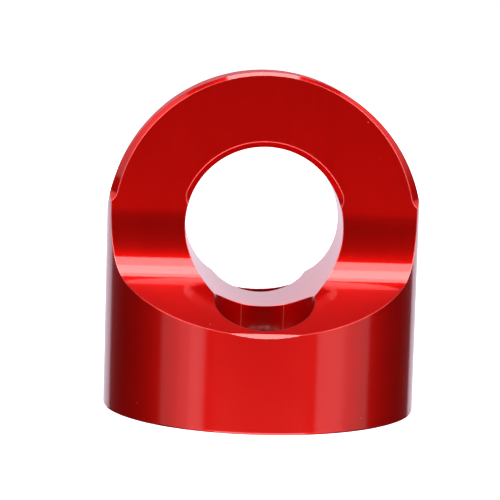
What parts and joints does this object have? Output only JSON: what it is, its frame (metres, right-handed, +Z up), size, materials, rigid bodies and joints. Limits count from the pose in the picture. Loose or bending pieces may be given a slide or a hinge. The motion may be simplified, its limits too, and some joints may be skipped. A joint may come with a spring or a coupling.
{
  "type": "phone handlebar mount post",
  "caption": "Round machined post with a cross-bore through an arched web for a handlebar-size tube, sloping seats and recessed base screws.",
  "frame": {"origin": "centre of the flat base, on the surface that the post is bolted down to", "axes": "+Z up out of the base; Y along the bar's bore, with -Y the front; X across the arched web"},
  "size_m": [0.045, 0.045, 0.0624],
  "materials": {
    "red_anodised": "bright red anodised over a finely turned and milled surface",
    "screw_steel": "stainless steel, satin",
    "washer_steel": "spring steel, zinc plated"
  },
  "bodies": {
    "root": {"mount_body": "red_anodised", "front_screw": "screw_steel", "rear_screw": "screw_steel", "front_lock_washer": "washer_steel", "rear_lock_washer": "washer_steel"}
  },
  "joints": []
}
